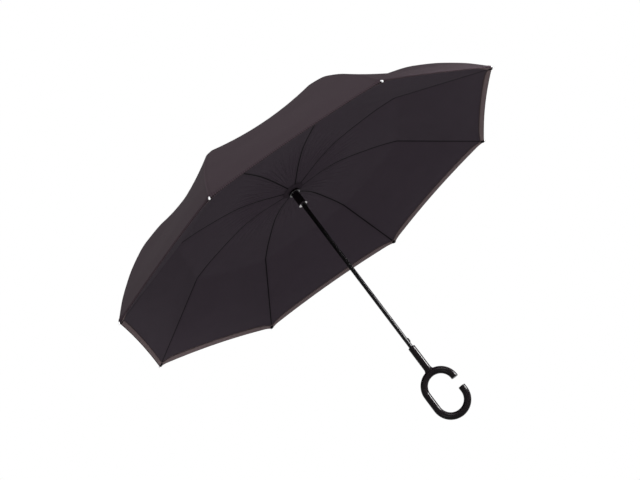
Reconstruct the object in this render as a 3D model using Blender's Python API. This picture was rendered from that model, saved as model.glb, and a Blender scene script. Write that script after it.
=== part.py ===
"""Reverse umbrella with two layers of fabric and a C shaped handle, at rest with its canopy open.

Metres, Z up along the shaft. The origin is the middle of the C, on the shaft's axis.
"""

import math

import bmesh
import bpy
from mathutils import Matrix, Vector

# Clearances and cutters
GAP = 0.0003
RUNNING_GAP = 0.0004
BLADE_GAP = 0.0004
TURN_GAP = 0.0006
OVERRUN = 0.004

# Handle
GRIP_WIDTH = 0.0895
GRIP_HEIGHT = 0.125
GRIP_RADIUS = 0.00825
UPPER_END_RUN = 0.00235
LOWER_END_RUN = 0.00915
NECK_RADIUS = 0.0085
NECK_LENGTH = 0.0635
NECK_EDGE = 0.0012
SEAT_DEPTH = 0.050
HANDLE_PIN_RADIUS = 0.00125
HANDLE_PIN_RISE = 0.016
HANDLE_PIN_WALL = 0.0020

# Shaft
SHAFT_RADIUS = 0.005
SHAFT_WALL = 0.0009

# Catches in the shaft
CATCH_THICKNESS = 0.0018
CATCH_HEIGHT = 0.011
CATCH_PROUD = 0.0021
CATCH_INSIDE = 0.0026
CATCH_SLOPE = 0.0024
LOWER_CATCH_RISE = 0.017
CATCH_FOOT = 0.0012
CATCH_FOOT_REACH = 0.0012

# Frame
RIB_COUNT = 8
RIB_TURN = math.radians(-15)
PIVOT_SPAN = 0.078
PIVOT_RADIUS = 0.0165
LINK_LENGTH = 0.248
CLOSED_ANGLE = math.radians(88)
ROOT_ADVANCE = 0.009
ROOT_DROP = 0.005
CLOSED_RUNNER_GAP = 0.003
RIM_RADIUS = 0.530
RIM_DROP = 0.190
BEND_PLACE_SHARE = 0.53
BEND_RISE = 0.049

# Links, rods and their pivots
WIRE_RADIUS = 0.0006
EYE_RADIUS = 0.0017
EYE_THICKNESS = 0.0014
EYE_LENGTH = 0.0068
BAR_WIDTH = 0.0032
BAR_DEPTH = 0.0032
CHEEK_WIDTH = 0.0038
CHEEK_RADIUS = 0.0019
CHEEK_LENGTH = 0.009
BRACKET_FOOT = 0.0036
ROD_RADIUS = 0.0014
TIP_RADIUS = 0.0022
TIP_BALL_RADIUS = 0.0027
TIP_LENGTH = 0.0145
TIP_SOCKET = 0.0075

# Crown, cap and runner
HEAD_RADIUS = 0.0183
HEAD_THICKNESS = 0.010
HEAD_CORE_RADIUS = 0.0135
CROWN_NECK_RADIUS = 0.0075
CROWN_NECK_RISE = 0.0022
CAP_RADIUS = 0.0160
CAP_RISE = 0.0105
CAP_TOP_RADIUS = 0.0070
CAP_EDGE = 0.0022
SHAFT_IN_CAP = 0.0062
SLEEVE_RADIUS = 0.0095
SLEEVE_DROP = 0.0495
FLANGE_RADIUS = 0.0140
FLANGE_DROP = 0.0190
FLANGE_THICKNESS = 0.0045
WAIST_RADIUS = 0.0100
END_RING_RADIUS = 0.0110
END_RING_THICKNESS = 0.0028
WINDOW_WIDTH = 0.0034
WINDOW_MARGIN = 0.0010
KEYWAY_ROOM = 0.0004

# Fabric
CLOTH = 0.0006
RIDGE_LIFT_LINK = 0.027
RIDGE_LIFT_ROOT = 0.026
RIDGE_LIFT_BEND = 0.0045
RIDGE_LIFT_ROD = 0.0130
RIDGE_CORNER_RISE = 0.0110
CORNER_INSET = 0.0060
OUTER_SAG = 0.017
OUTER_SAG_SHARES = ((0.0, 0.0), (0.25, 0.32), (0.5, 0.64), (0.7, 1.0), (0.85, 0.43), (1.0, -0.36))
LINING_SAG_SHARES = ((0.0, 0.0), (0.25, 0.6), (0.55, 1.0), (0.8, 0.5), (1.0, -0.8))
HEM_SCALLOP = 0.0045
HEM_SCALLOP_POWER_SHARE = 4.0
LINING_HUB_RISE = 0.0046
LINING_SWELL_RADIUS = 0.137
LINING_SWELL_RISE = 0.0215
LINING_FLAT_RADIUS = 0.215
LINING_FLAT_RISE = 0.0185
LINING_KINK_RADIUS = 0.320
LINING_KINK_RISE = 0.0045
LINING_CORNER_RISE = 0.0006
LINING_SAG = 0.006

# Fineness
GRIP_SIDES = 16
GRIP_ARC_STEPS = 12
TURNED_SIDES = 32
SMALL_SIDES = 8
BALL_STEPS = 3
CAP_STEPS = 4
PANEL_STEPS = 4
RIDGE_STEPS = 3
LINING_STEPS = 2
HUB_ROWS = 2
SHARP_ANGLE = math.radians(35)


def clear_scene():
    """Takes every object of the open file away."""
    for thing in list(bpy.data.objects):
        bpy.data.objects.remove(thing, do_unlink=True)


def make_material(name, colour, roughness, metallic=0.0):
    """One Principled material, with its colour in linear values."""
    material = bpy.data.materials.new(name)
    material.use_nodes = True
    shader = material.node_tree.nodes["Principled BSDF"]
    shader.inputs["Base Color"].default_value = (*colour, 1.0)
    shader.inputs["Roughness"].default_value = roughness
    shader.inputs["Metallic"].default_value = metallic
    return material


def add_object(name, mesh, material=None):
    """Puts a mesh into the scene as one named, smooth shaded piece."""
    piece = bpy.data.objects.new(name, mesh)
    bpy.context.scene.collection.objects.link(piece)
    if material is not None and not mesh.materials:
        mesh.materials.append(material)
    mesh.shade_smooth()
    mesh.set_sharp_from_angle(angle=SHARP_ANGLE)
    return piece


def mesh_from(name, points, faces):
    """A mesh of points and faces, with its faces turned outwards."""
    shape = bmesh.new()
    corners = [shape.verts.new(point) for point in points]
    for face in faces:
        shape.faces.new([corners[index] for index in face])
    bmesh.ops.recalc_face_normals(shape, faces=shape.faces)
    mesh = bpy.data.meshes.new(name)
    shape.to_mesh(mesh)
    shape.free()
    return mesh


def loft(name, rings, closed=False):
    """Joins rings of equally many points. The ends get caps unless the rings close on themselves."""
    count = len(rings[0])
    points = [point for ring in rings for point in ring]
    faces = []
    pairs = len(rings) if closed else len(rings) - 1
    for row in range(pairs):
        here = row * count
        there = (row + 1) % len(rings) * count
        for column in range(count):
            beside = (column + 1) % count
            faces.append((here + column, here + beside, there + beside, there + column))
    if not closed:
        faces.append(tuple(range(count)))
        faces.append(tuple(range(len(points) - count, len(points))))
    return mesh_from(name, points, faces)


def turned_ring(name, profile, sides=TURNED_SIDES):
    """Turns a closed outline of (radius, height) points, clear of the axis, round Z."""
    rings = []
    for side in range(sides):
        angle = math.tau * side / sides
        rings.append([Vector((r * math.cos(angle), r * math.sin(angle), z)) for r, z in profile])
    return loft(name, rings, closed=True)


def turned_solid(name, profile, sides=TURNED_SIDES):
    """Turns a line of (radius, height) points round Z and caps its two ends flat."""
    rings = []
    for r, z in profile:
        angles = [math.tau * side / sides for side in range(sides)]
        rings.append([Vector((r * math.cos(a), r * math.sin(a), z)) for a in angles])
    return loft(name, rings)


def plate(name, outline, width):
    """Extrudes an outline in the XZ plane to both sides of it."""
    rings = [[Vector((x, y, z)) for x, z in outline] for y in (-width / 2, width / 2)]
    return loft(name, rings)


def block(name, low, high):
    """A box from its low corner to its high corner."""
    outline = [(low[0], low[2]), (high[0], low[2]), (high[0], high[2]), (low[0], high[2])]
    rings = [[Vector((x, y, z)) for x, z in outline] for y in (low[1], high[1])]
    return loft(name, rings)


def rod_along(name, start, end, radius, sides=SMALL_SIDES):
    """A round bar between two points."""
    way = end - start
    turn = way.to_track_quat("Z", "Y")
    rings = []
    for centre in (start, end):
        ring = []
        for side in range(sides):
            angle = math.tau * (side + 0.5) / sides
            ring.append(centre + turn @ Vector((radius * math.cos(angle), radius * math.sin(angle), 0)))
        rings.append(ring)
    return loft(name, rings)


def combine(name, base, additions=(), cuts=()):
    """Joins meshes to a base mesh, cuts others from it, and gives back the finished mesh."""
    body = bpy.data.objects.new(name, base)
    bpy.context.scene.collection.objects.link(body)
    helpers = []
    for operation, meshes in (("UNION", additions), ("DIFFERENCE", cuts)):
        for mesh in meshes:
            helper = bpy.data.objects.new(name + "_helper", mesh)
            bpy.context.scene.collection.objects.link(helper)
            helper.hide_render = True
            helper.display_type = "WIRE"
            helpers.append(helper)
            change = body.modifiers.new(operation.title(), "BOOLEAN")
            change.operation = operation
            change.solver = "EXACT"
            change.object = helper
    bpy.context.view_layer.update()
    graph = bpy.context.evaluated_depsgraph_get()
    finished = bpy.data.meshes.new_from_object(body.evaluated_get(graph))
    finished.name = name
    for thing in [body, *helpers]:
        bpy.data.objects.remove(thing, do_unlink=True)
    return finished


def neck_top():
    """The upper end of the handle's neck."""
    return GRIP_HEIGHT / 2 + NECK_LENGTH


def closed_runner_height():
    """The height of the runner's pivots when it sits just above the handle's neck."""
    return neck_top() + CLOSED_RUNNER_GAP + END_RING_THICKNESS + SLEEVE_DROP


def crown_height():
    """The height of the crown's pivots, from which the closed links just reach the runner."""
    return closed_runner_height() + 2 * LINK_LENGTH * math.sin(CLOSED_ANGLE)


def runner_height():
    """The height of the runner's pivots at rest, with the canopy open."""
    return crown_height() - PIVOT_SPAN


def runner_travel():
    """How far the runner slides down until the links stand at their closed angle."""
    return runner_height() - closed_runner_height()


def sleeve_bottom():
    """The lower end of the runner's sleeve at rest."""
    return runner_height() - SLEEVE_DROP


def flange_bottom():
    """The lower face of the runner's flange at rest."""
    return runner_height() - FLANGE_DROP


def radial(radius, height, azimuth):
    """The point at a radius and height in the upright plane of one rib."""
    return Vector((radius * math.cos(azimuth), radius * math.sin(azimuth), height))


def rib_azimuths():
    """The directions of the ribs, seen from above."""
    return [RIB_TURN + math.tau * index / RIB_COUNT for index in range(RIB_COUNT)]


def frame_points():
    """The pivots of one rib in its own plane, as (radius, height) vectors at rest."""
    slope = math.asin(PIVOT_SPAN / 2 / LINK_LENGTH)
    along = Vector((math.cos(slope), math.sin(slope)))
    down = Vector((math.sin(slope), -math.cos(slope)))
    crown = Vector((PIVOT_RADIUS, crown_height()))
    runner = Vector((PIVOT_RADIUS, runner_height()))
    elbow = runner + along * LINK_LENGTH
    root = elbow + along * ROOT_ADVANCE + down * ROOT_DROP
    tip = Vector((RIM_RADIUS, crown_height() - RIM_DROP))
    bend = root.lerp(tip, BEND_PLACE_SHARE) + Vector((0, BEND_RISE))
    return {"crown": crown, "runner": runner, "elbow": elbow, "root": root, "bend": bend, "tip": tip}


def place(piece, start, end, azimuth):
    """Sets a bar built along +X on its pivot, pointing to the next pivot in the rib's plane."""
    way = end - start
    piece.location = radial(start.x, start.y, azimuth)
    piece.rotation_euler = (0, -math.atan2(way.y, way.x), azimuth)


def arc(centre, radius, first, last, steps):
    """Points on an arc in the XZ plane, both ends included."""
    points = []
    for step in range(steps + 1):
        angle = first + (last - first) * step / steps
        points.append((centre[0] + radius * math.cos(angle), centre[1] + radius * math.sin(angle)))
    return points


def pivot_hole(x, z=0.0):
    """The cutter for the hole that goes round a rivet or a wire."""
    start = Vector((x, -CHEEK_WIDTH, z))
    end = Vector((x, CHEEK_WIDTH, z))
    return rod_along("pivot_hole", start, end, WIRE_RADIUS + GAP)


def rivet(x, z=0.0):
    """The rivet that joins the two cheeks of a fork."""
    reach = CHEEK_WIDTH / 2 - GAP
    return rod_along("rivet", Vector((x, -reach, z)), Vector((x, reach, z)), WIRE_RADIUS)


def eye_at_start(length):
    """A flat blade round the pivot at the origin, reaching along +X."""
    rounded = arc((0, 0), EYE_RADIUS, math.pi / 2, 3 * math.pi / 2, SMALL_SIDES // 2)
    outline = [(length, EYE_RADIUS), *rounded, (length, -EYE_RADIUS)]
    return plate("eye", outline, EYE_THICKNESS)


def eye_at_end(x, length):
    """A flat blade round a pivot at x, reaching back towards the origin."""
    rounded = arc((x, 0), EYE_RADIUS, -math.pi / 2, math.pi / 2, SMALL_SIDES // 2)
    outline = [(x - length, -EYE_RADIUS), *rounded, (x - length, EYE_RADIUS)]
    return plate("eye", outline, EYE_THICKNESS)


def fork_at_end(x):
    """The two cheeks of a fork, still one block, round a pivot at x."""
    rounded = arc((x, 0), CHEEK_RADIUS, -math.pi / 2, math.pi / 2, SMALL_SIDES // 2)
    back = x - CHEEK_LENGTH
    outline = [(back, -CHEEK_RADIUS), *rounded, (back, CHEEK_RADIUS)]
    return plate("fork", outline, CHEEK_WIDTH)


def fork_slot(x):
    """The cutter that parts the cheeks of a fork whose pivot is at x."""
    low = (x - EYE_RADIUS - BLADE_GAP, -EYE_THICKNESS / 2 - BLADE_GAP, -CHEEK_RADIUS - OVERRUN)
    high = (x + CHEEK_RADIUS + OVERRUN, EYE_THICKNESS / 2 + BLADE_GAP, CHEEK_RADIUS + OVERRUN)
    return block("fork_slot", low, high)


def bar_between(start, end):
    """The square middle of a link, from one x to another."""
    low = (start, -BAR_WIDTH / 2, -BAR_DEPTH / 2)
    high = (end, BAR_WIDTH / 2, BAR_DEPTH / 2)
    return block("bar", low, high)


def stretcher_mesh():
    """A link with a flat eye at each end."""
    bar = bar_between(EYE_LENGTH, LINK_LENGTH - EYE_LENGTH)
    eyes = [eye_at_start(EYE_LENGTH + OVERRUN), eye_at_end(LINK_LENGTH, EYE_LENGTH + OVERRUN)]
    return combine("stretcher", bar, eyes, [pivot_hole(0.0), pivot_hole(LINK_LENGTH)])


def inner_rib_mesh():
    """The rib from the runner, with a bracket for the stretcher and a fork for the rod."""
    reach = LINK_LENGTH + ROOT_ADVANCE
    length = math.hypot(reach, ROOT_DROP)
    lean = math.atan2(ROOT_DROP, reach)
    elbow_x = LINK_LENGTH * math.cos(lean)
    elbow_z = LINK_LENGTH * math.sin(lean)
    rounded = arc((elbow_x, elbow_z), CHEEK_RADIUS, 0, math.pi, SMALL_SIDES // 2)
    outline = [(elbow_x - BRACKET_FOOT, 0), (elbow_x + BRACKET_FOOT, 0), *rounded]
    bracket = plate("bracket", outline, CHEEK_WIDTH)
    half_slot = EYE_THICKNESS / 2 + BLADE_GAP
    slot_low = (elbow_x - BRACKET_FOOT - OVERRUN, -half_slot, elbow_z - EYE_RADIUS - BLADE_GAP)
    slot_high = (elbow_x + BRACKET_FOOT + OVERRUN, half_slot, elbow_z + CHEEK_RADIUS + OVERRUN)
    bar = bar_between(EYE_LENGTH, length - CHEEK_LENGTH + OVERRUN / 2)
    solid = combine(
        "inner_rib",
        bar,
        [eye_at_start(EYE_LENGTH + OVERRUN), bracket, fork_at_end(length)],
        [block("bracket_slot", slot_low, slot_high), fork_slot(length), pivot_hole(0.0)],
    )
    return combine("inner_rib", solid, [rivet(elbow_x, elbow_z), rivet(length)])


def rod_with_eye(name, length):
    """A round rod along +X whose root is flattened to an eye."""
    start = Vector((CHEEK_RADIUS + TURN_GAP, 0, 0))
    rod = rod_along(name, start, Vector((length, 0, 0)), ROD_RADIUS)
    blade = eye_at_start(CHEEK_RADIUS + TURN_GAP + OVERRUN)
    return combine(name, rod, [blade], [pivot_hole(0.0)])


def mid_rib_mesh(length):
    """The inner half of the rod, with a fork at its outer end."""
    rod = rod_with_eye("mid_rib", length - CHEEK_LENGTH + OVERRUN)
    forked = combine("mid_rib", rod, [fork_at_end(length)], [fork_slot(length)])
    return combine("mid_rib", forked, [rivet(length)])


def outer_rib_mesh(length):
    """The outer half of the rod, which ends inside its tip."""
    return rod_with_eye("outer_rib", length - TIP_LENGTH + TIP_SOCKET - GAP)


def tip_mesh():
    """A small metal ferrule with a round end, built along +X with its end at the origin."""
    socket_end = -TIP_LENGTH + TIP_SOCKET
    ball_start = -2 * TIP_BALL_RADIUS
    profile = [(-TIP_LENGTH, ROD_RADIUS + GAP), (-TIP_LENGTH, TIP_RADIUS), (ball_start, TIP_RADIUS)]
    centre = -TIP_BALL_RADIUS
    for step in range(BALL_STEPS):
        angle = math.pi * (BALL_STEPS - step) / (BALL_STEPS + 2)
        profile.append((centre + TIP_BALL_RADIUS * math.cos(angle), TIP_BALL_RADIUS * math.sin(angle)))
    profile.append((0, WIRE_RADIUS))
    rings = []
    for x, r in [(socket_end, ROD_RADIUS + GAP), *profile]:
        angles = [math.tau * side / SMALL_SIDES for side in range(SMALL_SIDES)]
        rings.append([Vector((x, r * math.cos(a), r * math.sin(a))) for a in angles])
    return loft("tip", rings)


def build_ribs(materials):
    """The eight ribs, each a stretcher, an inner rib, two rods and a tip."""
    points = frame_points()
    mid_length = (points["bend"] - points["root"]).length
    outer_length = (points["tip"] - points["bend"]).length
    kinds = [
        ("stretcher", stretcher_mesh(), "crown", "elbow", "frame"),
        ("inner_rib", inner_rib_mesh(), "runner", "root", "frame"),
        ("mid_rib", mid_rib_mesh(mid_length), "root", "bend", "rod"),
        ("outer_rib", outer_rib_mesh(outer_length), "bend", "tip", "rod"),
    ]
    for kind, mesh, start, end, finish in kinds:
        for number, azimuth in enumerate(rib_azimuths(), 1):
            piece = add_object(f"{kind}_{number}", mesh, materials[finish])
            place(piece, points[start], points[end], azimuth)
    tip = tip_mesh()
    way = points["tip"] - points["bend"]
    for number, azimuth in enumerate(rib_azimuths(), 1):
        piece = add_object(f"tip_{number}", tip, materials["silver"])
        place(piece, points["tip"], points["tip"] + way, azimuth)


def grip_rings():
    """Circles along the C, from the upper end of its mouth round to the lower end."""
    end_radius = GRIP_WIDTH / 2 - GRIP_RADIUS
    straight = GRIP_HEIGHT / 2 - GRIP_RADIUS - end_radius
    stations = [(end_radius, straight - UPPER_END_RUN, math.pi / 2)]
    for first, height in ((0, straight), (math.pi, -straight)):
        for step in range(GRIP_ARC_STEPS + 1):
            angle = first + math.pi * step / GRIP_ARC_STEPS
            x = end_radius * math.cos(angle)
            z = height + end_radius * math.sin(angle)
            stations.append((x, z, angle + math.pi / 2))
    stations.append((end_radius, LOWER_END_RUN - straight, math.pi / 2))
    rings = []
    for x, z, heading in stations:
        across = Vector((math.sin(heading), 0, -math.cos(heading)))
        ring = []
        for side in range(GRIP_SIDES):
            angle = math.tau * side / GRIP_SIDES
            spread = across * math.cos(angle) + Vector((0, math.sin(angle), 0))
            ring.append(Vector((x, 0, z)) + spread * GRIP_RADIUS)
        rings.append(ring)
    return rings


def build_handle(materials):
    """The C and its neck in one moulding, with a seat for the shaft and a hole for its pin."""
    seat_floor = neck_top() - SEAT_DEPTH
    crest = GRIP_HEIGHT / 2 - GRIP_RADIUS
    neck_profile = [
        (NECK_RADIUS, crest),
        (NECK_RADIUS, neck_top() - NECK_EDGE),
        (NECK_RADIUS - NECK_EDGE, neck_top()),
    ]
    neck = turned_solid("neck", neck_profile, GRIP_SIDES)
    seat_radius = SHAFT_RADIUS + GAP
    seat_profile = [(seat_radius, seat_floor - GAP), (seat_radius, neck_top() + OVERRUN)]
    seat = turned_solid("seat", seat_profile, GRIP_SIDES)
    pin_height = seat_floor + HANDLE_PIN_RISE
    blind_end = Vector((0, -NECK_RADIUS + HANDLE_PIN_WALL, pin_height))
    open_end = Vector((0, NECK_RADIUS + OVERRUN, pin_height))
    pin_hole = rod_along("pin_hole", blind_end, open_end, HANDLE_PIN_RADIUS + GAP)
    mesh = combine("handle", loft("grip", grip_rings()), [neck], [seat, pin_hole])
    add_object("handle", mesh, materials["handle"])
    pin_start = blind_end + Vector((0, GAP, 0))
    pin_end = Vector((0, NECK_RADIUS - GAP, pin_height))
    pin = rod_along("handle_pin", pin_start, pin_end, HANDLE_PIN_RADIUS)
    add_object("handle_pin", pin, materials["steel"])


def lower_catch_height():
    """The middle of the lower catch, which holds the closed runner by its window."""
    return neck_top() + LOWER_CATCH_RISE


def upper_catch_height():
    """The middle of the upper catch, whose top carries the runner's lower end."""
    return sleeve_bottom() - END_RING_THICKNESS - GAP - CATCH_HEIGHT / 2


def build_shaft(materials):
    """The steel tube, with a slot for each catch and a hole for the handle's pin."""
    bottom = neck_top() - SEAT_DEPTH
    top = crown_top() + CROWN_NECK_RISE + SHAFT_IN_CAP
    inner = SHAFT_RADIUS - SHAFT_WALL
    profile = [(SHAFT_RADIUS, bottom), (SHAFT_RADIUS, top), (inner, top), (inner, bottom)]
    tube = turned_ring("shaft", profile, GRIP_SIDES)
    cuts = []
    half_slot = CATCH_THICKNESS / 2 + GAP
    for height in (lower_catch_height(), upper_catch_height()):
        rise = CATCH_HEIGHT / 2 + GAP
        low = (0, -half_slot, height - rise)
        cuts.append(block("catch_slot", low, (SHAFT_RADIUS + OVERRUN, half_slot, height + rise)))
    pin_height = bottom + HANDLE_PIN_RISE
    reach = SHAFT_RADIUS + OVERRUN
    start = Vector((0, -reach, pin_height))
    end = Vector((0, reach, pin_height))
    cuts.append(rod_along("pin_hole", start, end, HANDLE_PIN_RADIUS + GAP))
    add_object("shaft", combine("shaft", tube, [], cuts), materials["shaft"])


def build_catches(materials):
    """The two sprung catches, flat keys that stand out of the shaft through their slots."""
    half = CATCH_HEIGHT / 2
    nose = SHAFT_RADIUS + CATCH_PROUD
    back = SHAFT_RADIUS - SHAFT_WALL - CATCH_INSIDE
    foot = half + CATCH_FOOT
    foot_front = SHAFT_RADIUS - SHAFT_WALL - GAP
    foot_back = foot_front - CATCH_FOOT_REACH
    places = (("lower_catch", lower_catch_height(), -1), ("upper_catch", upper_catch_height(), 1))
    for name, height, up in places:
        outline = [
            (back, -foot * up),
            (foot_back, -foot * up),
            (foot_front, -foot * up),
            (foot_front, -half * up),
            (SHAFT_RADIUS, -half * up),
            (nose, (CATCH_SLOPE - half) * up),
            (nose, half * up),
            (foot_front, half * up),
            (foot_front, foot * up),
            (back, foot * up),
        ]
        piece = add_object(name, plate(name, outline, CATCH_THICKNESS), materials["steel"])
        piece.location = (0, 0, height)


def crown_top():
    """The upper face of the crown's slotted head."""
    return crown_height() + HEAD_THICKNESS / 2


def head_slots(height):
    """Cutters for the slots of a head, one for each rib."""
    slots = []
    half = EYE_THICKNESS / 2 + BLADE_GAP
    for azimuth in rib_azimuths():
        reach = HEAD_THICKNESS / 2 + OVERRUN
        low = (HEAD_CORE_RADIUS, -half, height - reach)
        slot = block("head_slot", low, (HEAD_RADIUS + OVERRUN, half, height + reach))
        slot.transform(Matrix.Rotation(azimuth, 4, "Z"))
        slots.append(slot)
    return slots


def build_crown(materials):
    """The slotted crown that carries the stretchers, and the wire they turn on."""
    bore = SHAFT_RADIUS + GAP
    bottom = crown_height() - HEAD_THICKNESS / 2
    top = crown_top()
    groove = WIRE_RADIUS + GAP
    groove_floor = PIVOT_RADIUS - groove
    profile = [
        (HEAD_RADIUS, bottom),
        (HEAD_RADIUS, crown_height() - groove),
        (groove_floor, crown_height() - groove),
        (groove_floor, crown_height() + groove),
        (HEAD_RADIUS, crown_height() + groove),
        (HEAD_RADIUS, top),
        (CROWN_NECK_RADIUS, top),
        (CROWN_NECK_RADIUS, top + CROWN_NECK_RISE),
        (bore, top + CROWN_NECK_RISE),
        (bore, bottom),
    ]
    body = turned_ring("crown", profile)
    add_object("crown", combine("crown", body, [], head_slots(crown_height())), materials["nylon"])
    wire_profile = []
    for side in range(SMALL_SIDES):
        angle = -math.tau * side / SMALL_SIDES
        reach = PIVOT_RADIUS + WIRE_RADIUS * math.cos(angle)
        wire_profile.append((reach, crown_height() + WIRE_RADIUS * math.sin(angle)))
    add_object("crown_wire", turned_ring("crown_wire", wire_profile, TURNED_SIDES), materials["steel"])


def build_cap(materials):
    """The cap that holds the outer fabric down on the crown."""
    under = crown_top() + CROWN_NECK_RISE + GAP
    top = under + CAP_RISE
    socket = under + SHAFT_IN_CAP
    bore = SHAFT_RADIUS + GAP
    profile = [
        (bore, socket),
        (bore, under),
        (CAP_RADIUS - CAP_EDGE / 2, under),
        (CAP_RADIUS, under + CAP_EDGE / 2),
        (CAP_RADIUS, under + CAP_EDGE),
    ]
    for step in range(CAP_STEPS):
        angle = math.pi / 2 * (step + 1) / CAP_STEPS
        r = CAP_TOP_RADIUS + (CAP_RADIUS - CAP_TOP_RADIUS) * math.cos(angle)
        z = under + CAP_EDGE + (top - under - CAP_EDGE) * math.sin(angle)
        profile.append((r, z))
    add_object("top_cap", turned_solid("top_cap", profile), materials["nylon"])


def build_runner(materials):
    """The runner, with its flange, slotted head and a keyway for the catches, and its bright end ring."""
    bore = SHAFT_RADIUS + RUNNING_GAP
    head_bottom = runner_height() - HEAD_THICKNESS / 2
    head_top = runner_height() + HEAD_THICKNESS / 2
    flange_top = flange_bottom() + FLANGE_THICKNESS
    profile = [
        (SLEEVE_RADIUS, sleeve_bottom()),
        (SLEEVE_RADIUS, flange_bottom()),
        (FLANGE_RADIUS, flange_bottom()),
        (FLANGE_RADIUS, flange_top),
        (WAIST_RADIUS, flange_top),
        (WAIST_RADIUS, head_bottom),
        (HEAD_RADIUS, head_bottom),
        (HEAD_RADIUS, head_top),
        (bore, head_top),
        (bore, sleeve_bottom()),
    ]
    body = turned_ring("runner", profile)
    window_height = lower_catch_height() + runner_travel()
    half = CATCH_HEIGHT / 2 + WINDOW_MARGIN
    low = (0, -WINDOW_WIDTH / 2, window_height - half)
    high = (SLEEVE_RADIUS + OVERRUN, WINDOW_WIDTH / 2, window_height + half)
    window = block("window", low, high)
    keyway_floor = SHAFT_RADIUS + CATCH_PROUD + KEYWAY_ROOM
    keyway_top = (keyway_floor, WINDOW_WIDTH / 2, head_top + OVERRUN)
    keyway = block("keyway", (0, -WINDOW_WIDTH / 2, window_height), keyway_top)
    cuts = [window, keyway, *head_slots(runner_height())]
    add_object("runner", combine("runner", body, [], cuts), materials["nylon"])
    ring_top = sleeve_bottom()
    ring_bottom = ring_top - END_RING_THICKNESS
    ring_profile = [
        (END_RING_RADIUS, ring_bottom),
        (END_RING_RADIUS, ring_top),
        (bore, ring_top),
        (bore, ring_bottom),
    ]
    add_object("runner_ring", turned_ring("runner_ring", ring_profile), materials["silver"])


def smooth_line(points, steps):
    """A smooth line through points, with equal steps between each two of them."""
    line = []
    for index in range(len(points) - 1):
        a = points[max(index - 1, 0)]
        b = points[index]
        c = points[index + 1]
        d = points[min(index + 2, len(points) - 1)]
        span = (c - b).length
        leave = (c - a).normalized() * span
        arrive = (d - b).normalized() * span
        for step in range(steps):
            t = step / steps
            # The weights of a cubic that leaves and arrives along the given directions
            near = 2 * t**3 - 3 * t**2 + 1
            far = 3 * t**2 - 2 * t**3
            out = t**3 - 2 * t**2 + t
            back = t**3 - t**2
            line.append(b * near + c * far + leave * out + arrive * back)
    line.append(points[-1])
    return line


def ridge_line():
    """The outer fabric's line over one rib, from the crown to the corner, as (radius, height)."""
    points = frame_points()
    hub = Vector((CROWN_NECK_RADIUS + CLOTH, crown_top() + GAP))
    shoulder = Vector((HEAD_RADIUS + CLOTH, crown_top() + GAP))
    over_elbow = points["elbow"] + Vector((0, RIDGE_LIFT_LINK))
    over_root_rod = (points["root"] + points["bend"]) / 2 + Vector((0, RIDGE_LIFT_ROOT))
    over_bend = points["bend"] + Vector((0, RIDGE_LIFT_BEND))
    over_rod = (points["bend"] + points["tip"]) / 2 + Vector((0, RIDGE_LIFT_ROD))
    corner = points["tip"] + Vector((-CORNER_INSET, RIDGE_CORNER_RISE))
    return [hub, *smooth_line([shoulder, over_elbow, over_root_rod, over_bend, over_rod, corner], RIDGE_STEPS)]


def lining_line():
    """The inner fabric's line along one seam, from the runner to the corner, as (radius, height)."""
    tip = frame_points()["tip"]
    flange_top = flange_bottom() + FLANGE_THICKNESS
    hub = Vector((WAIST_RADIUS + CLOTH, flange_top + LINING_HUB_RISE))
    edge = Vector((HEAD_RADIUS + CLOTH, flange_top + LINING_HUB_RISE))
    swell = Vector((LINING_SWELL_RADIUS, flange_top + LINING_SWELL_RISE))
    flat = Vector((LINING_FLAT_RADIUS, flange_top + LINING_FLAT_RISE))
    kink = Vector((LINING_KINK_RADIUS, flange_top + LINING_KINK_RISE))
    corner = tip + Vector((-CORNER_INSET, LINING_CORNER_RISE))
    return [hub, *smooth_line([edge, swell, flat, kink], LINING_STEPS), (kink + corner) / 2, corner]


def share_between(shares, place_share):
    """The value of a table of (place, value) shares at a place between two of its rows."""
    for (before, low), (after, high) in zip(shares, shares[1:]):
        if place_share <= after:
            return low + (high - low) * (place_share - before) / (after - before)
    return shares[-1][1]


def fabric_ring(point, place_share, sag, sag_shares, at_hub):
    """One ring of a sheet, straight from rib to rib and then let down in the middle of each panel."""
    drop = sag * share_between(sag_shares, place_share)
    scallop = HEM_SCALLOP * place_share**HEM_SCALLOP_POWER_SHARE
    ring = []
    for azimuth in rib_azimuths():
        left = radial(point.x, point.y, azimuth)
        right = radial(point.x, point.y, azimuth + math.tau / RIB_COUNT)
        for step in range(PANEL_STEPS):
            across_share = step / PANEL_STEPS
            belly = 4 * across_share * (1 - across_share)
            if at_hub:
                ring.append(radial(point.x, point.y, azimuth + math.tau * across_share / RIB_COUNT))
                continue
            spot = left.lerp(right, across_share)
            outward = Vector((spot.x, spot.y, 0)).normalized()
            ring.append(spot - (outward * scallop + Vector((0, 0, drop))) * belly)
    return ring


def double_sheet(name, one_side, other_side):
    """Closes two layers of rings into one thin sheet, with the same diagonals in both layers."""
    count = len(one_side[0])
    last_row = len(one_side) - 1
    across = count * len(one_side)
    points = [point for ring in one_side + other_side for point in ring]
    faces = []
    for row in range(last_row + 1):
        for column in range(count):
            here = row * count + column
            beside = row * count + (column + 1) % count
            if row in (0, last_row):
                faces.append((here, beside, beside + across, here + across))
            if row < last_row:
                ahead = here + count
                corner = beside + count
                for face in ((here, beside, corner), (here, corner, ahead)):
                    faces.append(face)
                    faces.append(tuple(index + across for index in face))
    return mesh_from(name, points, faces)


def fabric_mesh(name, line, sag, sag_shares, cloth):
    """A thin closed sheet whose lines over the ribs are given, with a round hole in its middle."""
    run = [0.0]
    for here, there in zip(line, line[1:]):
        run.append(run[-1] + (there - here).length)
    faces_up = []
    for index, point in enumerate(line):
        faces_up.append(fabric_ring(point, run[index] / run[-1], sag, sag_shares, index < HUB_ROWS))
    other_side = [[point + Vector((0, 0, cloth)) for point in ring] for ring in faces_up]
    return double_sheet(name, faces_up, other_side)


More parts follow.
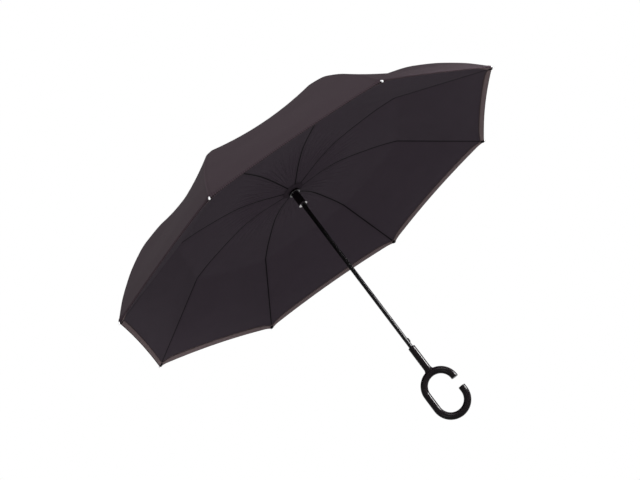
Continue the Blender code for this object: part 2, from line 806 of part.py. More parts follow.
def build_fabric(materials):
    """The outer canopy and the inner lining, as thin sheets."""
    outer = fabric_mesh("outer_canopy", ridge_line(), OUTER_SAG, OUTER_SAG_SHARES, CLOTH)
    add_object("outer_canopy", outer, materials["canopy"])
    inner = fabric_mesh("inner_canopy", lining_line(), LINING_SAG, LINING_SAG_SHARES, -CLOTH)
    add_object("inner_canopy", inner, materials["lining"])


def build_all():
    """Builds every piece of the umbrella."""
    clear_scene()
    materials = {
        "handle": make_material("handle_gloss", (0.006, 0.006, 0.007), 0.16),
        "shaft": make_material("shaft_enamel", (0.010, 0.009, 0.010), 0.25),
        "steel": make_material("plain_steel", (0.45, 0.45, 0.46), 0.35, 1.0),
        "silver": make_material("bright_plate", (0.80, 0.80, 0.80), 0.15, 1.0),
        "frame": make_material("frame_enamel", (0.012, 0.012, 0.013), 0.40),
        "rod": make_material("glass_fibre", (0.015, 0.015, 0.016), 0.35),
        "nylon": make_material("black_nylon", (0.010, 0.009, 0.010), 0.35),
        "canopy": make_material("outer_cloth", (0.050, 0.043, 0.049), 0.75),
        "lining": make_material("lining_cloth", (0.036, 0.030, 0.034), 0.80),
    }
    build_handle(materials)
    build_shaft(materials)
    build_catches(materials)
    build_crown(materials)
    build_cap(materials)
    build_runner(materials)
    build_ribs(materials)
    build_fabric(materials)


build_all()
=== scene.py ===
"""Reverse umbrella with two layers of cloth and a C shaped handle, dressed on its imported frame.

Metres, Z up along the shaft.
The sections follow the umbrella as it is put together, from the handle to the corner pockets.
"""

import math

import bpy
import numpy as np
from mathutils import Matrix, Vector


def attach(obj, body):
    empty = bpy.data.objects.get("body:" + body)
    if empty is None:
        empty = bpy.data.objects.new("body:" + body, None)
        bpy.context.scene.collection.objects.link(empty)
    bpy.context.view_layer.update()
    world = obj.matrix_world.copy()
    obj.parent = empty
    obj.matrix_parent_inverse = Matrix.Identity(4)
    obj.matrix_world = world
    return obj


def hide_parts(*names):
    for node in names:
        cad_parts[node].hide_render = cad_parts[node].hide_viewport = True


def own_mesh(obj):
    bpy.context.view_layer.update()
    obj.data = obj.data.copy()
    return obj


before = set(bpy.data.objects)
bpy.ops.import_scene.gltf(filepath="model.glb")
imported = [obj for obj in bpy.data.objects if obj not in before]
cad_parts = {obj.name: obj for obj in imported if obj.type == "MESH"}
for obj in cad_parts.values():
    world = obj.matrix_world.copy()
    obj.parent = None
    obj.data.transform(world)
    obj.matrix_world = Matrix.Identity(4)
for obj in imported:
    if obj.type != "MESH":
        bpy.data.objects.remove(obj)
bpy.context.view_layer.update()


# Camera
# It stands in front of the open umbrella and a little below it,
# and is rolled so that the shaft leans to the lower right.
camera_place = (-0.0087, -2.6669, -0.4104)
camera_right = Vector((0.7980, 0.1883, -0.5725)).normalized()
camera_back = camera_right.cross(Vector((0.6026, -0.2437, 0.7599))).normalized()
camera_up = camera_back.cross(camera_right)
camera_turn = Matrix((camera_right, camera_up, camera_back)).transposed().to_4x4()
camera_data = bpy.data.cameras.new("camera")
camera_data.sensor_fit = "HORIZONTAL"
camera_data.sensor_width = 36
camera_data.lens = 68.75
camera_data.clip_end = 60
camera = bpy.data.objects.new("camera", camera_data)
camera.matrix_world = Matrix.Translation(camera_place) @ camera_turn
bpy.context.scene.collection.objects.link(camera)
bpy.context.scene.camera = camera
bpy.context.scene.view_settings.view_transform = "Standard"


# Floor, backdrop and lamps
# A plain pale floor well below the umbrella and a surround that is white to what looks at it or mirrors it.
# Two wide lamps give soft, even light, and a narrow one brightens the side of the handle and the shaft.
floor_side = 9.0
floor_height = -0.72
floor_glow = 0.42
surround_glow = 0.44


def add_node(tree, kind, inputs=None, **settings):
    """Adds a shader node with its settings and the values of its inputs."""
    node = tree.nodes.new(kind)
    for name, value in settings.items():
        setattr(node, name, value)
    for name, value in (inputs or {}).items():
        if isinstance(value, bpy.types.NodeSocket):
            tree.links.new(value, node.inputs[name])
        else:
            node.inputs[name].default_value = value
    return node


def add_math(tree, operation, *values):
    """Adds a maths node on its values and gives its result."""
    return add_node(tree, "ShaderNodeMath", dict(enumerate(values)), operation=operation).outputs[0]


def new_finish(name, colour, roughness):
    """A material and its Principled shader, with the colour and roughness that the finish starts from."""
    material = bpy.data.materials.new(name)
    material.use_nodes = True
    shader = material.node_tree.nodes["Principled BSDF"]
    shader.inputs["Base Color"].default_value = (*colour, 1)
    shader.inputs["Roughness"].default_value = roughness
    return material, shader


def add_piece(name, points, faces, body):
    """Adds a mesh object that moves with a body of the frame."""
    mesh = bpy.data.meshes.new(name)
    mesh.from_pydata([tuple(point) for point in points], [], [tuple(face) for face in faces])
    mesh.validate()
    mesh.shade_smooth()
    piece = bpy.data.objects.new(name, mesh)
    bpy.context.scene.collection.objects.link(piece)
    if body:
        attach(piece, body)
    return piece


def seen_rays(tree):
    """One for the rays that look at a surface, mirror it or show it through glass, and nought for light."""
    rays = add_node(tree, "ShaderNodeLightPath").outputs
    looked_at = add_math(tree, "MAXIMUM", rays["Is Camera Ray"], rays["Is Glossy Ray"])
    return add_math(tree, "MAXIMUM", looked_at, rays["Is Transmission Ray"])


floor_corners = [(-1, -1), (1, -1), (1, 1), (-1, 1)]
floor_points = [(x * floor_side, y * floor_side, floor_height) for x, y in floor_corners]
floor = add_piece("floor", floor_points, [(0, 1, 2, 3)], None)
floor_finish, floor_shader = new_finish("pale_floor", (0.84, 0.84, 0.84), 0.9)
floor_shader.inputs["Specular IOR Level"].default_value = 0.1
floor_shader.inputs["Emission Color"].default_value = (1, 1, 1, 1)
floor_tree = floor_finish.node_tree
floor_light = add_math(floor_tree, "MULTIPLY", seen_rays(floor_tree), floor_glow)
floor_tree.links.new(floor_light, floor_shader.inputs["Emission Strength"])
floor.data.materials.append(floor_finish)

world = bpy.data.worlds.new("surround")
bpy.context.scene.world = world
world.use_nodes = True
world_tree = world.node_tree
surround = world_tree.nodes["Background"]
surround.inputs["Color"].default_value = (1, 1, 1, 1)
surround_span = {"Value": seen_rays(world_tree), "To Min": surround_glow, "To Max": 1.0}
ambient = add_node(world_tree, "ShaderNodeMapRange", surround_span)
world_tree.links.new(ambient.outputs["Result"], surround.inputs["Strength"])


def add_lamp(name, place, target, size, power, beam=180):
    """A soft rectangular lamp that faces a point, with the angle of its beam in degrees."""
    data = bpy.data.lights.new(name, "AREA")
    data.shape = "RECTANGLE"
    data.size, data.size_y = size
    data.energy = power
    data.spread = math.radians(beam)
    lamp = bpy.data.objects.new(name, data)
    bpy.context.scene.collection.objects.link(lamp)
    way = (Vector(target) - Vector(place)).to_track_quat("-Z", "Y")
    lamp.matrix_world = Matrix.Translation(place) @ way.to_matrix().to_4x4()


add_lamp("top_lamp", (1.2, -2.2, 2.2), (0, 0, 0.5), size=(1.4, 1.4), power=50)
add_lamp("side_lamp", (-1.0, -1.8, -0.60), (0, 0, 0.5), size=(1.0, 1.0), power=10)
add_lamp("edge_lamp", (1.40, -0.36, 0.33), (0, 0, 0.10), size=(0.42, 0.5), power=3.2, beam=30)


# Handle
# One moulding of black gloss plastic: a C of round bar with its ends cut flat,
# and a neck on top of it that takes the shaft.
grip_width = 0.0895
grip_height = 0.125
grip_radius = 0.00825
grip_ends = (0.0154, -0.0086)
grip_sides = 40
arc_points = 49
end_round = 0.0009
end_turns = (0, 0.5, 1.05, math.pi / 2)
end_middle = 0.6
neck_radius = 0.0085
neck_top = 0.126
neck_sink = 0.55
neck_edge = 0.0012
neck_rows = 10
neck_fillet = 0.0085
fillet_stretch = 1.25
fillet_gap = 0.004
foot_inset = 0.0003
neck_mouth = [(0.0058, 0.0), (0.0053, 0.0008)]


def swept_shell(rings):
    """Points and faces of a closed tube through rings of equal counts, with a fan at each end."""
    count = len(rings[0])
    points = [point for ring in rings for point in ring]
    faces = []
    for row in range(len(rings) - 1):
        for side in range(count):
            here = row * count + side
            beside = row * count + (side + 1) % count
            faces.append((here, beside, beside + count, here + count))
    faces.append(tuple(reversed(range(count))))
    faces.append(tuple(range(len(points) - count, len(points))))
    return points, faces


def circle_ring(centre, across, aside, count):
    """A ring of points round a centre, spanned by two half widths."""
    turns = [math.tau * side / count for side in range(count)]
    return [centre + across * math.cos(turn) + aside * math.sin(turn) for turn in turns]


def rounded_end(sign):
    """Steps along the bar and radii, from the middle of a flat end over its rounded edge to the full bar."""
    rounds = [(0, grip_radius * end_middle)]
    for turn in end_turns:
        step = sign * end_round * (1 - math.cos(turn))
        rounds.append((step, grip_radius - end_round * (1 - math.sin(turn))))
    return rounds


end_radius = grip_width / 2 - grip_radius
straight = grip_height / 2 - grip_radius - end_radius
stations = [(end_radius, grip_ends[0], math.pi / 2)]
for first, height in ((0, straight), (math.pi, -straight)):
    for angle in np.linspace(first, first + math.pi, arc_points):
        place = (end_radius * math.cos(angle), height + end_radius * math.sin(angle))
        stations.append((*place, angle + math.pi / 2))
stations.append((end_radius, grip_ends[1], math.pi / 2))
station_rounds = [[(0, grip_radius)]] * len(stations)
station_rounds[0] = rounded_end(1)
station_rounds[-1] = reversed(rounded_end(-1))
grip_rings = []
for (x, z, heading), rounds in zip(stations, station_rounds):
    along = Vector((math.cos(heading), 0, math.sin(heading)))
    across = Vector((math.sin(heading), 0, -math.cos(heading)))
    for step, radius in rounds:
        centre = Vector((x, 0, z)) + along * step
        grip_rings.append(circle_ring(centre, across * radius, Vector((0, radius, 0)), grip_sides))
grip_points, grip_faces = swept_shell(grip_rings)

neck_foot = grip_height / 2 - grip_radius * neck_sink
neck_rings = []
for turn in np.linspace(math.pi / 2, 0, neck_rows):
    spread = neck_fillet * (1 - math.cos(turn))
    height = neck_foot + neck_fillet * (1 - math.sin(turn)) * fillet_stretch
    neck_rings.append((neck_radius + spread, neck_radius - foot_inset * math.sin(turn), height))
for height in np.linspace(neck_rings[-1][2] + fillet_gap, neck_top - neck_edge, neck_rows):
    neck_rings.append((neck_radius, neck_radius, height))
for turn in end_turns[1:]:
    radius = neck_radius - neck_edge * (1 - math.cos(turn))
    neck_rings.append((radius, radius, neck_top - neck_edge * (1 - math.sin(turn))))
for radius, depth in neck_mouth:
    neck_rings.append((radius, radius, neck_top - depth))
neck_shell = []
for wide, deep, height in neck_rings:
    centre = Vector((0, 0, height))
    neck_shell.append(circle_ring(centre, Vector((wide, 0, 0)), Vector((0, deep, 0)), grip_sides))
neck_points, neck_faces = swept_shell(neck_shell)
shift = len(grip_points)
handle_faces = grip_faces + [tuple(index + shift for index in face) for face in neck_faces]
handle = add_piece("handle_moulding", grip_points + neck_points, handle_faces, "root")


def new_effect(name, inputs, outputs):
    """A new node group: its tree, the values that come into it and the sockets that it puts out."""
    tree = bpy.data.node_groups.new(name, "ShaderNodeTree")
    for label, default in inputs.items():
        socket = tree.interface.new_socket(label, in_out="INPUT", socket_type="NodeSocketFloat")
        socket.default_value = default
    for label in outputs:
        tree.interface.new_socket(label, in_out="OUTPUT", socket_type="NodeSocketFloat")
    return tree, tree.nodes.new("NodeGroupInput").outputs, tree.nodes.new("NodeGroupOutput").inputs


def build_mottle():
    """A node group for uneven shade, fine marks and a slight unevenness of a hard surface."""
    defaults = {"Coarse": 60.0, "Fine": 900.0, "Depth": 0.1}
    tree, source, result = new_effect("mottle", defaults, ("Shade", "Marks", "Height"))
    place = add_node(tree, "ShaderNodeTexCoord").outputs["Object"]
    clouds = {"Vector": place, "Scale": source["Coarse"], "Detail": 3.0}
    coarse = add_node(tree, "ShaderNodeTexNoise", clouds).outputs["Fac"]
    grains = {"Vector": place, "Scale": source["Fine"], "Detail": 4.0}
    fine = add_node(tree, "ShaderNodeTexNoise", grains).outputs["Fac"]
    spread = add_math(tree, "SUBTRACT", coarse, 0.5)
    deep = add_math(tree, "MULTIPLY", spread, source["Depth"])
    marks_span = {"Value": fine, "From Min": 0.45, "From Max": 0.75}
    marks = add_node(tree, "ShaderNodeMapRange", marks_span).outputs["Result"]
    tree.links.new(add_math(tree, "ADD", deep, 1.0), result["Shade"])
    tree.links.new(marks, result["Marks"])
    tree.links.new(fine, result["Height"])
    return tree


mottle = build_mottle()


def hard_finish(name, colour, roughness, coarse, fine, depth, bump, specular=0.5, metallic=0.0):
    """A hard finish with an uneven shade, its roughness between two values and a fine bump."""
    material, shader = new_finish(name, colour, roughness[0])
    shader.inputs["Specular IOR Level"].default_value = specular
    shader.inputs["Metallic"].default_value = metallic
    tree = material.node_tree
    scales = {"Coarse": coarse, "Fine": fine, "Depth": depth}
    marks = add_node(tree, "ShaderNodeGroup", scales, node_tree=mottle).outputs
    shaded = {0: colour, "Scale": marks["Shade"]}
    tint = add_node(tree, "ShaderNodeVectorMath", shaded, operation="SCALE")
    tree.links.new(tint.outputs[0], shader.inputs["Base Color"])
    rough_span = {"Value": marks["Marks"], "To Min": roughness[0], "To Max": roughness[1]}
    rough = add_node(tree, "ShaderNodeMapRange", rough_span)
    tree.links.new(rough.outputs["Result"], shader.inputs["Roughness"])
    relief = {"Strength": bump, "Distance": 0.0004, "Height": marks["Height"]}
    dent = add_node(tree, "ShaderNodeBump", relief)
    tree.links.new(dent.outputs["Normal"], shader.inputs["Normal"])
    return material


gloss_finish = hard_finish(
    "black_gloss_plastic", (0.0042, 0.0028, 0.0034), (0.17, 0.19),
    coarse=40.0, fine=350.0, depth=0.6, bump=0.001, specular=0.08,
)
handle.data.materials.append(gloss_finish)
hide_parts("handle")


# Handle pin
# A short pin of plain steel.
# It is pressed across the neck and keeps the shaft in the moulding.
steel_finish = hard_finish(
    "plain_steel", (0.42, 0.42, 0.43), (0.25, 0.45),
    coarse=300.0, fine=4000.0, depth=0.3, bump=0.05, metallic=1.0,
)


def dress(node, material):
    """Gives a solid of the frame its finish."""
    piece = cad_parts[node]
    for slot in piece.material_slots:
        slot.material = material


dress("handle_pin", steel_finish)


# Shaft
# A steel tube 10 mm across, enamelled glossy black.
# The runner slides on it, and both catches sit in slots in its wall.
enamel_finish = hard_finish(
    "shaft_enamel", (0.005, 0.0045, 0.005), (0.22, 0.26),
    coarse=90.0, fine=1500.0, depth=0.6, bump=0.003, specular=0.08,
)
dress("shaft", enamel_finish)


# Catches
# Two flat keys of blackened spring steel in slots of the shaft.
# One holds the open runner up from below, and the other holds the closed one above the neck.
dark_steel_finish = hard_finish(
    "blackened_steel", (0.05, 0.048, 0.05), (0.5, 0.65),
    coarse=400.0, fine=5000.0, depth=0.5, bump=0.02, metallic=1.0,
)
dress("lower_catch", dark_steel_finish)
dress("upper_catch", dark_steel_finish)


# Crown, its wire and the cap
# The slotted crown and the cap over it are moulded in black nylon.
# A steel wire in the crown's groove carries the stretchers.
nylon_finish = hard_finish(
    "black_nylon", (0.009, 0.0085, 0.009), (0.26, 0.42),
    coarse=120.0, fine=2500.0, depth=0.4, bump=0.05,
)
dress("crown", nylon_finish)
dress("crown_wire", steel_finish)
dress("top_cap", nylon_finish)


# Runner and its ring
# The runner slides on the shaft. It is black gloss nylon with a rounded flange for the fingers,
# and a bright plated ring is pressed on its lower end.
flange_sides = 64
flange_loop = [
    (0.0097, 0.5800),
    (0.0126, 0.5797),
    (0.0139, 0.5805),
    (0.0143, 0.5817),
    (0.0143, 0.5828),
    (0.0139, 0.5840),
    (0.0126, 0.5848),
    (0.0103, 0.5850),
    (0.0097, 0.5846),
]


def turned_loop(name, loop, body, count):
    """A ring round the shaft whose section is a closed loop of radius and height."""
    points = []
    for turn in np.linspace(0, math.tau, count, endpoint=False):
        points += [(radius * math.cos(turn), radius * math.sin(turn), height) for radius, height in loop]
    faces = []
    for step in range(count):
        here = step * len(loop)
        there = (step + 1) % count * len(loop)
        for side in range(len(loop)):
            beside = (side + 1) % len(loop)
            faces.append((here + side, there + side, there + beside, here + beside))
    return add_piece(name, points, faces, body)


runner_finish = hard_finish(
    "runner_gloss", (0.0055, 0.0040, 0.0048), (0.14, 0.24),
    coarse=150.0, fine=2500.0, depth=0.4, bump=0.01, specular=0.2,
)
dress("runner", runner_finish)
flange = turned_loop("runner_flange", flange_loop, "runner", flange_sides)
flange_finish = runner_finish.copy()
flange_finish.name = "flange_gloss"
flange_finish.node_tree.nodes["Principled BSDF"].inputs["Specular IOR Level"].default_value = 0.5
flange.data.materials.append(flange_finish)
ring_finish = hard_finish(
    "ring_plate", (0.40, 0.39, 0.40), (0.2, 0.32),
    coarse=500.0, fine=6000.0, depth=0.2, bump=0.03, metallic=1.0,
)
dress("runner_ring", ring_finish)


# Stretchers and ribs
# Rolled steel links, enamelled black, are hinged at the crown and the runner.
# From there rods of black glass fibre go on to the rim.
frame_finish = hard_finish(
    "frame_enamel", (0.011, 0.011, 0.012), (0.3, 0.5),
    coarse=200.0, fine=3000.0, depth=0.5, bump=0.06,
)
rod_finish = hard_finish(
    "glass_fibre", (0.013, 0.013, 0.014), (0.3, 0.5),
    coarse=350.0, fine=5000.0, depth=0.5, bump=0.08,
)
rib_numbers = range(1, 9)
for number in rib_numbers:
    dress(f"stretcher_{number}", frame_finish)
    dress(f"inner_rib_{number}", frame_finish)
    dress(f"mid_rib_{number}", rod_finish)
    dress(f"outer_rib_{number}", rod_finish)


# Tips
# A small plated metal ferrule with a ball end is pressed on each rod.
# The corners of both layers are sewn on behind the ball.
rib_turn = math.radians(-15)
gore_angle = math.tau / 8
bend = Vector((0.408312, 0.605312))
rod_tip = Vector((0.530, 0.486998))
ferrule = [(-0.0145, 0.0012), (-0.0145, 0.0022), (-0.0010, 0.0022)]
ball_place = 0.0015
ball_radius = 0.0025
ball_turns = np.linspace(2.4, 0.06, 10)
tip_sides = 20


def turned(points, number):
    """Points of a rib's own frame, turned to the place of rib number."""
    angle = rib_turn + gore_angle * (number - 1)
    c, s = math.cos(angle), math.sin(angle)
    return points @ np.array([[c, s, 0], [-s, c, 0], [0, 0, 1]])


tip_way = (rod_tip - bend).normalized()
ball = [(ball_place + ball_radius * math.cos(turn), ball_radius * math.sin(turn)) for turn in ball_turns]
tip_rings = []
for step, radius in ferrule + ball:
    centre = rod_tip + tip_way * step
    across = Vector((tip_way.y, 0, -tip_way.x)) * radius
    ring_centre = Vector((centre.x, 0, centre.y))
    tip_rings.append(circle_ring(ring_centre, across, Vector((0, radius, 0)), tip_sides))
tip_points, tip_faces = swept_shell(tip_rings)
plate_finish = hard_finish(
    "bright_plate", (0.78, 0.78, 0.79), (0.08, 0.2),
    coarse=500.0, fine=6000.0, depth=0.15, bump=0.03, metallic=1.0,
)
for number in rib_numbers:
    points = turned(np.array(tip_points), number)
    tip = add_piece(f"tip_ball_{number}", points, tip_faces, f"outer_rib_{number}")
    tip.data.materials.append(plate_finish)
    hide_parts(f"tip_{number}")


# Outer canopy
# Eight gores of plain woven polyester, sewn together along the ribs and held on the crown under the cap.
# The cloth is straight from rib to rib and dips between them. Each gore is in parts that go with its ribs.
elbow = Vector((0.261414, 0.637998))
outer_seam = [
    (0.0189, 0.6826),
    (0.060, 0.6790),
    (0.100, 0.6749),
    (0.150, 0.6728),
    (0.200, 0.6702),
    (0.260, 0.6655),
    (0.300, 0.6600),
    (0.323, 0.6535),
    (0.356, 0.6390),
    (0.385, 0.6247),
    (0.410, 0.6081),
    (0.442, 0.5835),
    (0.471, 0.5569),
    (0.497, 0.5304),
    (0.529, 0.4920),
]
outer_dip = [(0, 0), (0.25, 0.0049), (0.5, 0.0108), (0.7, 0.0169), (0.85, 0.0072), (1, -0.0061)]
rim_edge = Vector((0.5290, 0.4880))
rim_rise = 0.0058
rim_pull = 0.0030
pull_share = 0.4
join_share = 0.10
hem_room = 0.0006
tip_room = 0.0028
tip_room_width = 0.012
gore_length = 0.6
gore_columns = 18
slip = 0.0006
outer_colour = (0.0475, 0.0344, 0.0409)
yarn_shade = 0.22
thread_height = 0.03
seam_line = {"From Min": 0.0025, "From Max": 0.0008}
seam_depth = -0.25
allowance_edge = {"From Min": 0.0075, "From Max": 0.0065}
allowance_shade = -0.07
allowance_height = 0.08


def smooth_table(rows, steps=24):
    """A smooth line through rows of two numbers each, as two arrays."""
    points = [np.array(row, float) for row in rows]
    line = []
    for index in range(len(points) - 1):
        a = points[max(index - 1, 0)]
        b = points[index]
        c = points[index + 1]
        d = points[min(index + 2, len(points) - 1)]
        leave = (c - a) * (c[0] - b[0]) / (c[0] - a[0])
        arrive = (d - b) * (c[0] - b[0]) / (d[0] - b[0])
        for t in np.arange(steps) / steps:
            near = 2 * t**3 - 3 * t**2 + 1
            line.append(b * near + c * (1 - near) + leave * (t**3 - 2 * t**2 + t) + arrive * (t**3 - t**2))
    line.append(points[-1])
    return np.array(line).T


def running_length(points):
    """The length of a line from its first point to each of its points."""
    return np.concatenate([[0], np.cumsum(np.linalg.norm(np.diff(points, axis=0), axis=1))])


def measured_line(line):
    """A line's radius and height with the share of its length at each point."""
    run = running_length(line.T)
    return line[0], line[1], run / run[-1]


def ease(value):
    """A share that leaves 0 and reaches 1 softly."""
    share = np.clip(value, 0, 1)
    return share * share * (3 - 2 * share)


def gore_point(line, along, across, dip, pull, side):
    """A point of one half gore in its rib's own plane frame, straight from rib to rib and then let down."""
    radius = np.interp(along, line[2], line[0])
    height = np.interp(along, line[2], line[1])
    x = radius * (1 - across * (1 - math.cos(gore_angle)))
    y = radius * across * math.sin(gore_angle)
    belly = 4 * across * (1 - across)
    scale = 1 - pull * belly / np.hypot(x, y)
    return np.stack([x * scale, y * scale * side, height - dip * belly], axis=-1)


def from_tip(across):
    """How far a point of the rim is from its rib's tip."""
    return across * 2 * rim_edge.x * math.sin(gore_angle / 2)


def layer_surface(line, dips, along, across, side, layer):
    """A layer's half gore, led over its last part to its side of the rim: layer 1 above it, -1 below it."""
    dip = np.interp(along, dips[0], dips[1])
    pull = rim_pull * ease((along - (1 - pull_share)) / pull_share)
    points = gore_point(line, along, across, dip, pull, side)
    last = gore_point(line, np.ones_like(along), across, dips[1][-1], rim_pull, side)[..., 2]
    room = hem_room + tip_room * np.exp(-((from_tip(across) / tip_room_width) ** 2))
    edge = rim_edge.y + rim_rise * (4 * across * (1 - across)) + layer * room
    points[..., 2] += ease((along - (1 - join_share)) / join_share) * (edge - last)
    return points


outer_line = measured_line(smooth_table(outer_seam))
outer_dips = smooth_table(outer_dip)


def outer_surface(along, across, side):
    """The outer canopy's half gore."""
    return layer_surface(outer_line, outer_dips, along, across, side, 1)


def past_border(points, border):
    """How far points are past the plane of a rib's border."""
    pivot, way = border[:2]
    return (points[:, 0] - pivot.x) * way.x + (points[:, 2] - pivot.y) * way.y


def border_reach(border, across):
    """How far the cloth goes on past a border."""
    return border[2] + (border[3] - border[2]) * across * 2


def border_share(surface, across, side, border, sign, steps=700):
    """The share along a half gore where a part ends: the border itself, or found from a rib's plane."""
    if isinstance(border, float):
        return border
    tries = np.linspace(0, 1, steps)
    past = past_border(surface(tries, np.full_like(tries, across), side), border)
    return float(np.interp(sign * border_reach(border, across), past, tries))


def grid_faces(lines, count, flipped=False):
    """Faces between neighbouring lines of points of equal counts."""
    faces = []
    for line in range(lines - 1):
        for place in range(count - 1):
            here = line * count + place
            face = (here, here + 1, here + count + 1, here + count)
            faces.append(tuple(reversed(face)) if flipped else face)
    return faces


def half_gore(surface, layer, side, first, last, rows, columns):
    """Points, faces and flat places of one part of a half gore between two borders.

    A border is a share of the length, or a rib's pivot, the way of the seam there and how far the
    cloth goes on, at the seam and in mid panel. Past a border the cloth slips behind the next part's,
    towards the other layer.
    """
    points = []
    flat = []
    for across in np.linspace(0, 1, columns) * 0.5:
        start = border_share(surface, across, side, first, -1)
        end = border_share(surface, across, side, last, 1)
        column = surface(np.linspace(start, end, rows), np.full(rows, across), side)
        for border, sign in ((first, -1), (last, 1)):
            if not isinstance(border, float):
                past = sign * past_border(column, border) / border_reach(border, across)
                column[:, 2] -= layer * slip * np.clip(past, 0, 1)
        points.append(column)
        from_seam = np.linalg.norm(column - points[0], axis=1)
        flat.append(np.stack([from_seam, running_length(column) + start * gore_length], axis=-1))
    return np.concatenate(points), grid_faces(columns, rows, side * layer > 0), np.concatenate(flat)


def add_cloth(name, points, faces, flat, body):
    """Adds a cloth piece whose flat places are its texture places, in metres."""
    piece = add_piece(name, points, faces, body)
    layer = piece.data.uv_layers.new(name="flat")
    for loop in piece.data.loops:
        layer.data[loop.index].uv = flat[loop.vertex_index]
    return piece


def build_weave():
    """A node group for plain woven cloth, on flat places in metres: threads, uneven yarn and soft slack."""
    defaults = {"Thread": 0.0004, "Contrast": 0.2, "Slack": 0.3}
    tree, source, result = new_effect("weave", defaults, ("Shade", "Height"))
    place = add_node(tree, "ShaderNodeTexCoord").outputs["UV"]
    parts = add_node(tree, "ShaderNodeSeparateXYZ", {0: place}).outputs
    waves = []
    for part in ("X", "Y"):
        pitch = add_math(tree, "DIVIDE", parts[part], source["Thread"])
        waves.append(add_math(tree, "SINE", add_math(tree, "MULTIPLY", pitch, math.pi)))
    crossed = add_math(tree, "MULTIPLY", *waves)
    yarns = {"Vector": place, "Scale": 500.0, "Detail": 3.0}
    yarn = add_node(tree, "ShaderNodeTexNoise", yarns).outputs["Fac"]
    clouds = {"Vector": place, "Scale": 9.0, "Detail": 3.0}
    cloud = add_node(tree, "ShaderNodeTexNoise", clouds).outputs["Fac"]
    mixed = add_math(tree, "ADD", yarn, cloud)
    uneven = add_math(tree, "MULTIPLY_ADD", mixed, yarn_shade, 1 - yarn_shade)
    threads = add_math(tree, "MULTIPLY", crossed, source["Contrast"])
    tree.links.new(add_math(tree, "ADD", threads, uneven), result["Shade"])
    slack = add_math(tree, "MULTIPLY", cloud, source["Slack"])
    tree.links.new(add_math(tree, "MULTIPLY_ADD", crossed, thread_height, slack), result["Height"])
    return tree


weave = build_weave()


def cloth_finish(name, colour, roughness, contrast, sheen, painted_seam_light):
    """A woven cloth with its seam and the folded allowance beside it, along the rib at flat place zero.

    The seam line carries painted light: a positive seam value paints shade into its crease, and a negative
    one paints a highlight on its raised edge.
    """
    material, shader = new_finish(name, colour, roughness)
    shader.inputs["Specular IOR Level"].default_value = 0.0
    shader.inputs["Sheen Weight"].default_value = sheen
    shader.inputs["Sheen Roughness"].default_value = 0.6
    tree = material.node_tree
    woven = add_node(tree, "ShaderNodeGroup", {"Contrast": contrast}, node_tree=weave).outputs
    place = add_node(tree, "ShaderNodeTexCoord").outputs["UV"]
    across = add_node(tree, "ShaderNodeSeparateXYZ", {0: place}).outputs["X"]
    seam = add_node(tree, "ShaderNodeMapRange", {"Value": across, **seam_line}).outputs["Result"]
    band = add_node(tree, "ShaderNodeMapRange", {"Value": across, **allowance_edge}).outputs["Result"]
    # Painted light on the seam line: a value above nought paints shade into it, and one below nought paints a
    # highlight.
    seam_painted_tone = add_math(tree, "MULTIPLY_ADD", seam, -painted_seam_light, 1.0)
    band_shade = add_math(tree, "MULTIPLY_ADD", band, allowance_shade, seam_painted_tone)
    shaded = {0: colour, "Scale": add_math(tree, "MULTIPLY", woven["Shade"], band_shade)}
    tint = add_node(tree, "ShaderNodeVectorMath", shaded, operation="SCALE")
    tree.links.new(tint.outputs[0], shader.inputs["Base Color"])
    seam_height = add_math(tree, "MULTIPLY_ADD", seam, seam_depth, woven["Height"])
    height = add_math(tree, "MULTIPLY_ADD", band, allowance_height, seam_height)
    dent = add_node(tree, "ShaderNodeBump", {"Strength": 0.6, "Distance": 0.002, "Height": height})
    tree.links.new(dent.outputs["Normal"], shader.inputs["Normal"])
    return material


def fold_axis(seam, side, share, slope):
    """The axis, anchor and kept share that fold a half gore in from its seam to a share of its width."""
    seam_way = Vector(seam[-1] - seam[0]).normalized()
    below = Vector((seam_way.z, 0, -seam_way.x))
    hang = -seam_way.z * math.tan(gore_angle / 2)
    lean = math.atan2(hang + slope * share, 1 - share)
    axis = Vector((0, side * math.cos(lean), 0)) + below * math.sin(lean)
    keep = 1 - (1 - share) / (math.cos(lean) ** 2 * (1 + hang * math.tan(lean)))
    return axis, (seam[0] + seam[-1]) / 2, keep


def fold_away(piece, number, fold):
    """Turns a fold's axis and anchor to rib number and gives the piece a mesh of its own; the piece is not
    folded.
    """
    axis, anchor, keep = fold
    axis = Vector(turned(np.array(axis), number))
    anchor = Vector(turned(np.array(anchor), number))
    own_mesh(piece)
    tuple(axis)
    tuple(anchor)


# Its seam line is painted lighter, a painted highlight on the raised seam's edge.
outer_finish = cloth_finish(
    "outer_cloth", outer_colour, roughness=0.72, contrast=0.06, sheen=0.04, painted_seam_light=-0.2
)
seam_at_elbow = Vector((0.9945, -0.105)).normalized()
seam_at_bend = Vector((0.80, -0.60)).normalized()
outer_elbow_border = (elbow, seam_at_elbow, 0.012, 0.012)
outer_bend_border = (bend, seam_at_bend, 0.010, 0.010)
outer_fold = 0.06
# Each part's name, the body it goes with, its two borders and its rows.
outer_parts = [
    ("crown", "stretcher", 0.0, outer_elbow_border, 26),
    ("middle", "mid_rib", outer_elbow_border, outer_bend_border, 22),
    ("rim", "outer_rib", outer_bend_border, 1.0, 26),
]
sides = ((-1, "left"), (1, "right"))
rim_parts = {}
for number in rib_numbers:
    for side, word in sides:
        for part, body, first, last, rows in outer_parts:
            points, faces, flat = half_gore(outer_surface, 1, side, first, last, rows, gore_columns)
            fold = fold_axis(points[:rows], side, outer_fold, 0.0)
            name = f"outer_{part}_{word}_{number}"
            piece = add_cloth(name, turned(points, number), faces, flat, f"{body}_{number}")
            piece.data.materials.append(outer_finish)
            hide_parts("outer_canopy")
            fold_away(piece, number, fold)
            if part == "rim":
                rim_parts[number, side] = (piece, flat)


